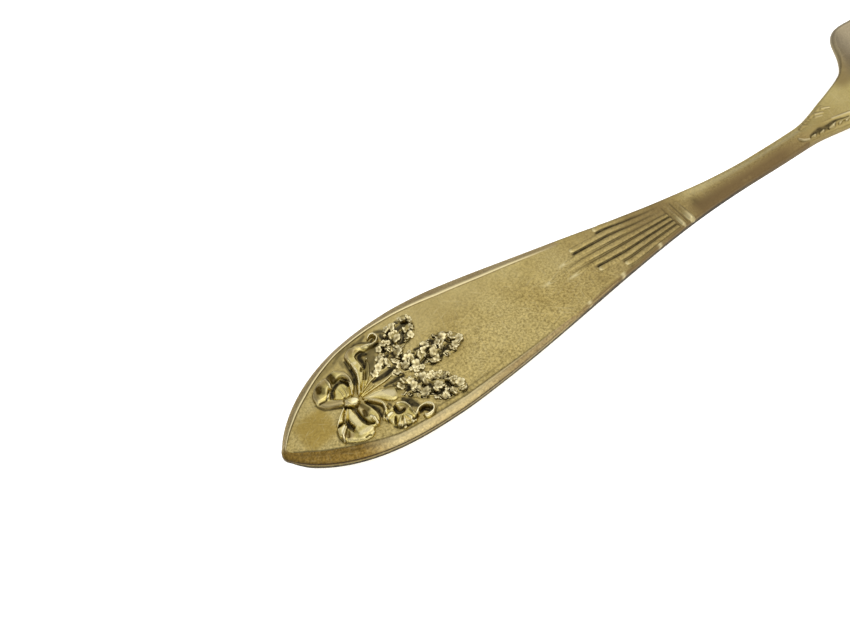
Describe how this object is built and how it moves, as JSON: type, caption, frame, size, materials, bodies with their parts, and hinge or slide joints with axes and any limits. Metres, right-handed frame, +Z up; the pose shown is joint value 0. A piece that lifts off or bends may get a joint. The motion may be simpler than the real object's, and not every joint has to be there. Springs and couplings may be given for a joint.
{
  "type": "sugar spoon",
  "caption": "Sugar spoon with a deep broad bowl, slim stem and spade-shaped handle dressed with a bordered rim, ribbon bow, flower sprays and reeds.",
  "frame": {"origin": "on the table, under the middle of the spoon's bounding box", "axes": "+X along the spoon from the tip of the handle to the front of the bowl, +Y to the left of someone looking from the handle to the bowl, +Z up out of the open bowl"},
  "size_m": [0.156, 0.0288, 0.0118],
  "materials": {
    "gilt_body": "old gilt brass, finely scratched, brown where it is rubbed",
    "worn_rim": "rubbed brass with coppery brown edges",
    "gilt_relief": "bright high points with black tarnish in the hollows"
  },
  "bodies": {
    "root": {"handle": "gilt_body", "bowl": "gilt_body", "rim_border": "worn_rim", "bow_knot": "gilt_relief", "bow_loop_left": "gilt_relief", "bow_loop_right": "gilt_relief", "ribbon_tail_left": "gilt_relief", "ribbon_tail_right": "gilt_relief", "flower_spray_left": "gilt_relief", "flower_spray_middle": "gilt_relief", "flower_spray_right": "gilt_relief", "reed_1": "gilt_relief", "reed_2": "gilt_relief", "reed_3": "gilt_relief", "reed_4": "gilt_relief", "reed_5": "gilt_relief", "reed_6": "gilt_relief", "reed_7": "gilt_relief", "collar_bead_small": "gilt_relief", "collar_bead_large": "gilt_relief", "shoulder_sprig_left": "gilt_relief", "shoulder_sprig_right": "gilt_relief"}
  },
  "joints": []
}
